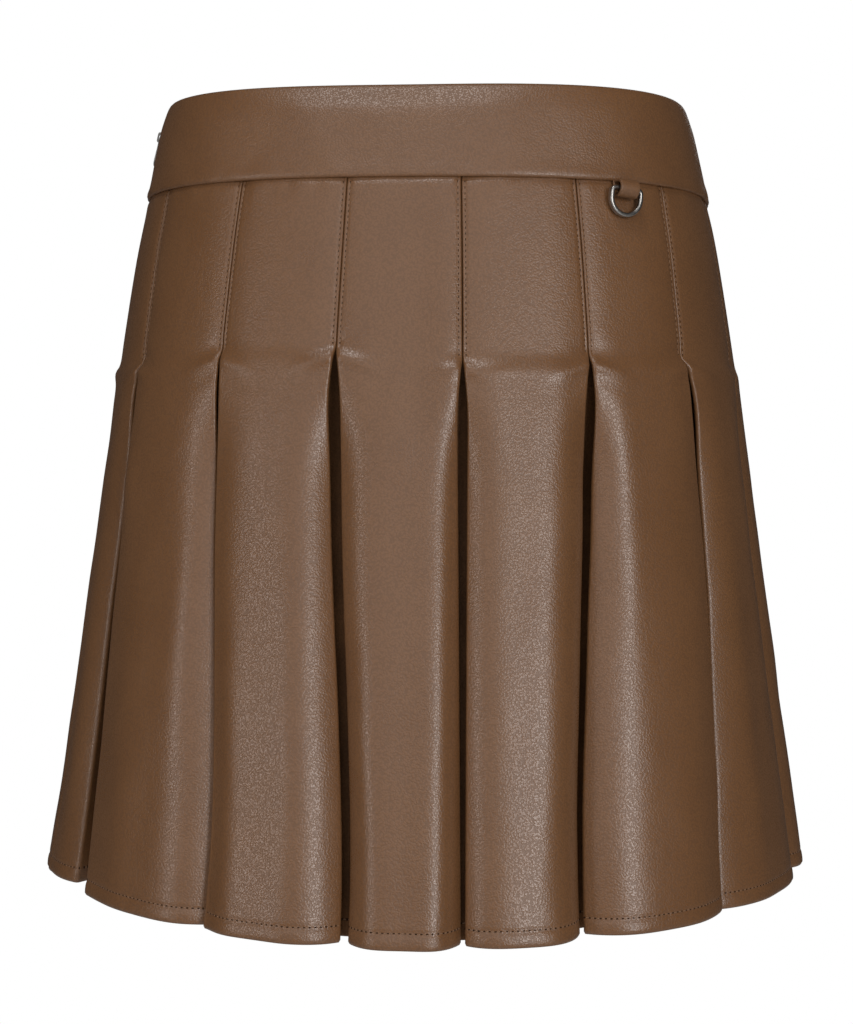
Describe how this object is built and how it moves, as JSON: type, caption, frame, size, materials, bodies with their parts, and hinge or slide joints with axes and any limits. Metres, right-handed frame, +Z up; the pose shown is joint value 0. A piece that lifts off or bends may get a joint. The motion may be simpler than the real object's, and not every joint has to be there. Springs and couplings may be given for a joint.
{
  "type": "pleated leather mini skirt",
  "caption": "Pleated leather mini skirt in its worn, hollow form: plain contoured waistband, box pleats stitched to the hip and open to the hem, side zip with a swinging pull, D ring on a loop.",
  "frame": {"origin": "centre of the waistband's outline, half way up the band", "axes": "+Z up the body, -Y towards the skirt's front, +X towards the side with the D ring (the wearer's left)"},
  "size_m": [0.3751, 0.3325, 0.3752],
  "materials": {
    "brown_leather": "satin, fine pebble grain",
    "zip_tape": "woven brown polyester tape",
    "ring_metal": "polished gunmetal nickel",
    "zip_metal": "satin nickel"
  },
  "bodies": {
    "skirt": {"skirt_front": "brown_leather", "skirt_back": "brown_leather", "waistband_front": "brown_leather", "waistband_back": "brown_leather", "zip_tape_front": "zip_tape", "zip_tape_back": "zip_tape", "zip_slider": "zip_metal", "ring_loop": "brown_leather"},
    "d_ring": {"d_ring": "ring_metal"},
    "zip_pull": {"zip_pull": "zip_metal"}
  },
  "joints": [
    {"name": "ring_swing", "type": "hinge", "parent": "skirt", "child": "d_ring", "pos_m": [0.09814, -0.09168, -0.02536], "axis": [-0.8588, -0.5076, 0.0689], "range_deg": [0, 120]},
    {"name": "pull_swing", "type": "hinge", "parent": "skirt", "child": "zip_pull", "pos_m": [-0.13087, -0.02413, 0.0102], "axis": [-0.093, 0.9957, 0], "range_deg": [0, 110]}
  ]
}
